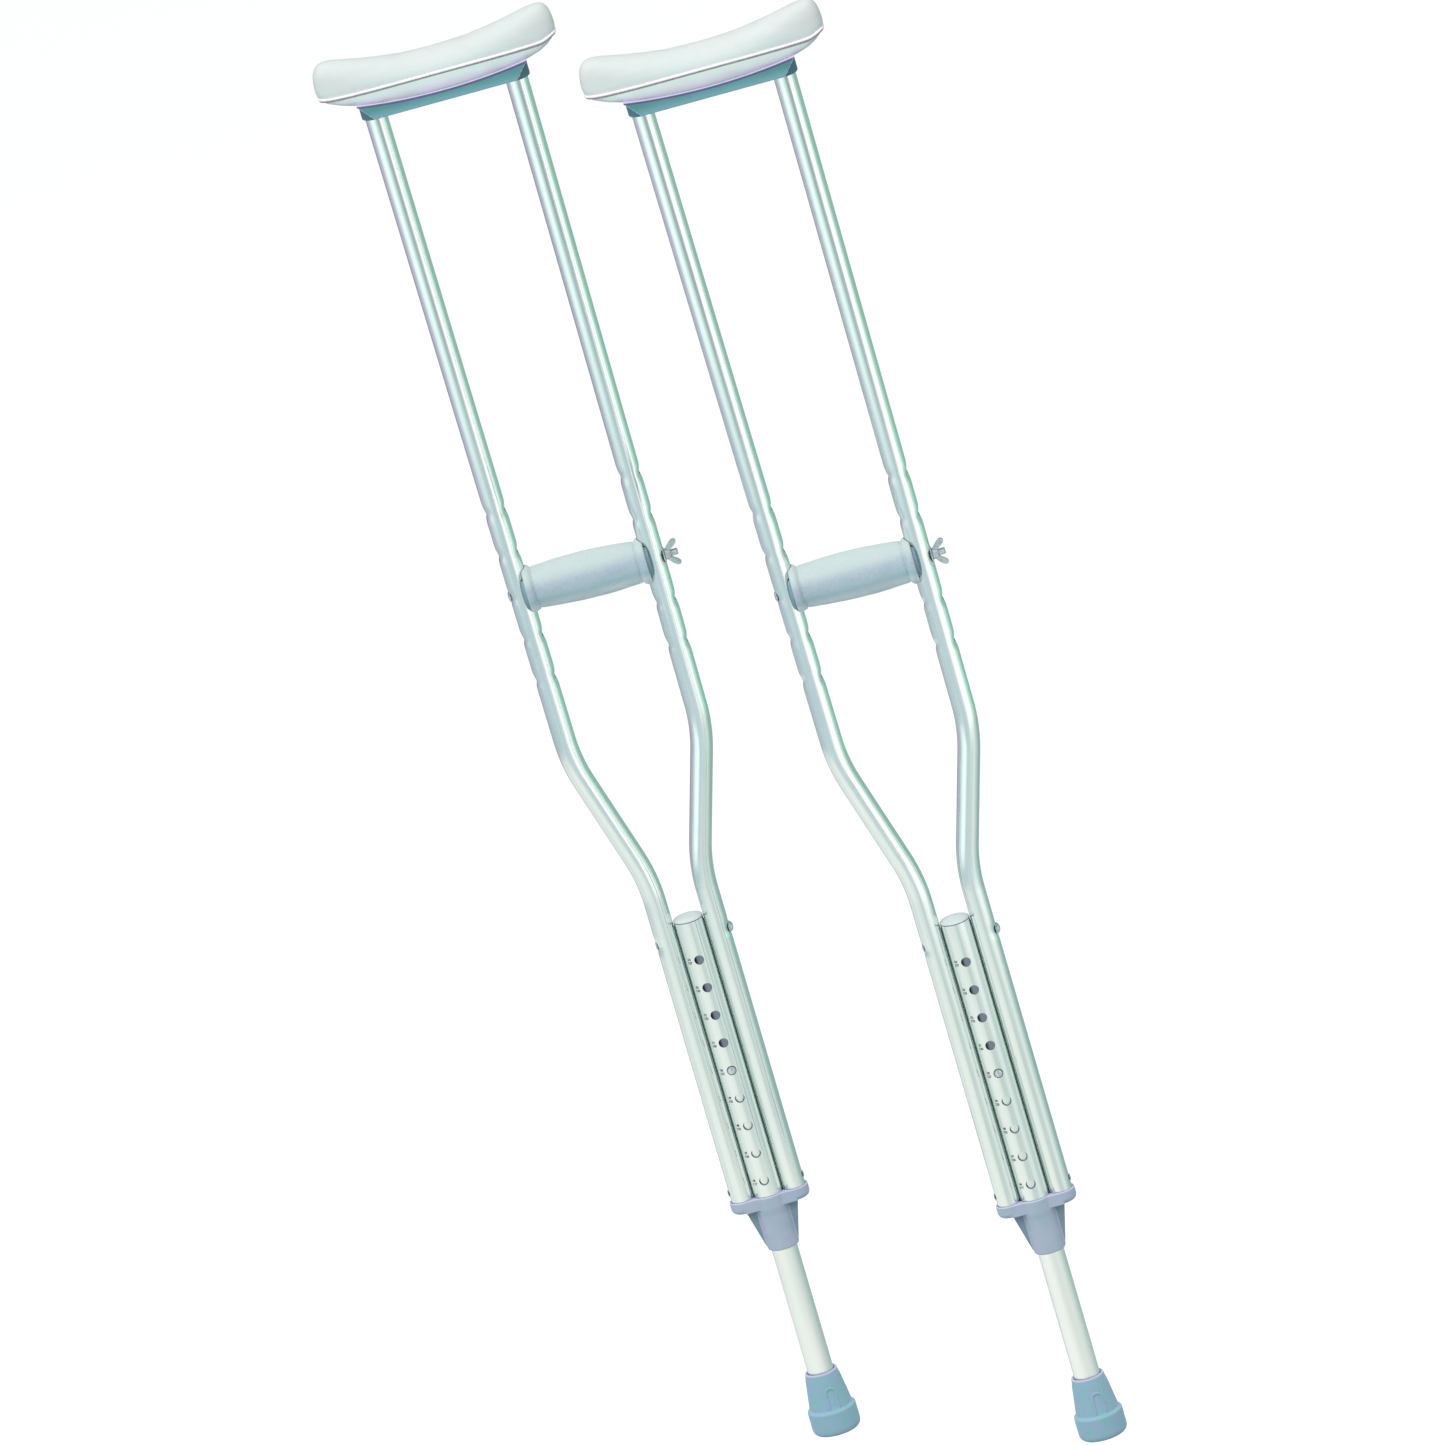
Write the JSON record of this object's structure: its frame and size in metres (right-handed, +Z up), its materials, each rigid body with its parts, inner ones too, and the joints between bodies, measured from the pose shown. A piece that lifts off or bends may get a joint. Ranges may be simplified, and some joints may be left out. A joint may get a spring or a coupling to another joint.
{
  "type": "underarm crutches",
  "caption": "Pair of push-button aluminium underarm crutches with padded rests, foam handgrips on wing-nut bolts and rubber tips.",
  "frame": {"origin": "on the floor, midway between the two upright crutches, which are crutch a at the left and back and crutch b at the right and front", "axes": "+Z up along the crutches, +X across them from the bolt heads to the wing nuts, -Y the front, where the push buttons are"},
  "size_m": [0.431, 0.2364, 1.2717],
  "materials": {
    "vinyl": "soft matt off-white vinyl",
    "board": "plain plywood",
    "teal_plastic": "moulded, slightly grained",
    "blue_grey_plastic": "moulded, slightly grained",
    "pale_plastic": "smooth moulded",
    "foam": "closed-cell foam, matt",
    "aluminium": "drawn and anodised, satin",
    "steel": "bright zinc plate",
    "tip_rubber": "matt moulded rubber"
  },
  "bodies": {
    "a_crutch": {"a_underarm_pad": "vinyl", "a_pad_board": "board", "a_pad_saddle": "teal_plastic", "a_pad_screw_left": "steel", "a_pad_screw_right": "steel", "a_side_tube_left": "aluminium", "a_side_tube_right": "aluminium", "a_centre_tube": "aluminium", "a_centre_cap": "pale_plastic", "a_top_bolt": "steel", "a_top_washer": "steel", "a_top_nut": "steel", "a_yoke": "blue_grey_plastic", "a_yoke_screw_left": "steel", "a_yoke_screw_right": "steel", "a_handgrip": "foam", "a_grip_core": "pale_plastic", "a_grip_saddle_left": "blue_grey_plastic", "a_grip_saddle_right": "blue_grey_plastic"},
    "a_grip_bolt": {"a_grip_bolt": "steel"},
    "a_nut_washer": {"a_grip_washer": "steel"},
    "a_wing_nut": {"a_wing_nut": "steel"},
    "a_leg": {"a_leg_tube": "aluminium", "a_tip": "tip_rubber", "a_tip_washer": "steel", "a_button_spring": "steel"},
    "a_button": {"a_snap_button": "steel"},
    "b_crutch": {"b_underarm_pad": "vinyl", "b_pad_board": "board", "b_pad_saddle": "teal_plastic", "b_pad_screw_left": "steel", "b_pad_screw_right": "steel", "b_side_tube_left": "aluminium", "b_side_tube_right": "aluminium", "b_centre_tube": "aluminium", "b_centre_cap": "pale_plastic", "b_top_bolt": "steel", "b_top_washer": "steel", "b_top_nut": "steel", "b_yoke": "blue_grey_plastic", "b_yoke_screw_left": "steel", "b_yoke_screw_right": "steel", "b_handgrip": "foam", "b_grip_core": "pale_plastic", "b_grip_saddle_left": "blue_grey_plastic", "b_grip_saddle_right": "blue_grey_plastic"},
    "b_grip_bolt": {"b_grip_bolt": "steel"},
    "b_nut_washer": {"b_grip_washer": "steel"},
    "b_wing_nut": {"b_wing_nut": "steel"},
    "b_leg": {"b_leg_tube": "aluminium", "b_tip": "tip_rubber", "b_tip_washer": "steel", "b_button_spring": "steel"},
    "b_button": {"b_snap_button": "steel"}
  },
  "joints": [
    {"name": "a_leg_slide", "type": "slide", "parent": "a_crutch", "child": "a_leg", "axis": [0, 0, 1], "range_m": [-0.1016, 0.1016], "deforming": ["a_snap_button"]},
    {"name": "a_button_press", "type": "slide", "parent": "a_leg", "child": "a_button", "axis": [0, 1, 0], "range_m": [0, 0.0036], "stiffness_N_per_m": 1500, "springref_m": -0.002, "deforming": ["a_button_spring"]},
    {"name": "a_bolt_pull", "type": "slide", "parent": "a_crutch", "child": "a_grip_bolt", "axis": [-1, 0, 0], "range_m": [0, 0.146]},
    {"name": "a_nut_travel", "type": "slide", "parent": "a_crutch", "child": "a_nut_washer", "axis": [1, 0, 0], "range_m": [0, 0.01016]},
    {"name": "a_wing_nut_turn", "type": "hinge", "parent": "a_nut_washer", "child": "a_wing_nut", "pos_m": [-0.0437, 0.0954, 0.7838], "axis": [1, 0, 0], "range_deg": [0, 2880]},
    {"name": "b_leg_slide", "type": "slide", "parent": "b_crutch", "child": "b_leg", "axis": [0, 0, 1], "range_m": [-0.1016, 0.1016], "deforming": ["b_snap_button"]},
    {"name": "b_button_press", "type": "slide", "parent": "b_leg", "child": "b_button", "axis": [0, 1, 0], "range_m": [0, 0.0036], "stiffness_N_per_m": 1500, "springref_m": -0.002, "deforming": ["b_button_spring"]},
    {"name": "b_bolt_pull", "type": "slide", "parent": "b_crutch", "child": "b_grip_bolt", "axis": [-1, 0, 0], "range_m": [0, 0.146]},
    {"name": "b_nut_travel", "type": "slide", "parent": "b_crutch", "child": "b_nut_washer", "axis": [1, 0, 0], "range_m": [0, 0.01016]},
    {"name": "b_wing_nut_turn", "type": "hinge", "parent": "b_nut_washer", "child": "b_wing_nut", "pos_m": [0.1803, -0.0954, 0.7838], "axis": [1, 0, 0], "range_deg": [0, 2880]},
    {"name": "pair_spread", "type": "slide", "parent": "a_crutch", "child": "b_crutch", "axis": [1, 0, 0], "range_m": [0, 0.3]}
  ],
  "couplings": [
    {"joint": "a_wing_nut_turn", "follows": "a_nut_travel", "rad_per_m": 4947.4},
    {"joint": "b_wing_nut_turn", "follows": "b_nut_travel", "rad_per_m": 4947.4}
  ]
}
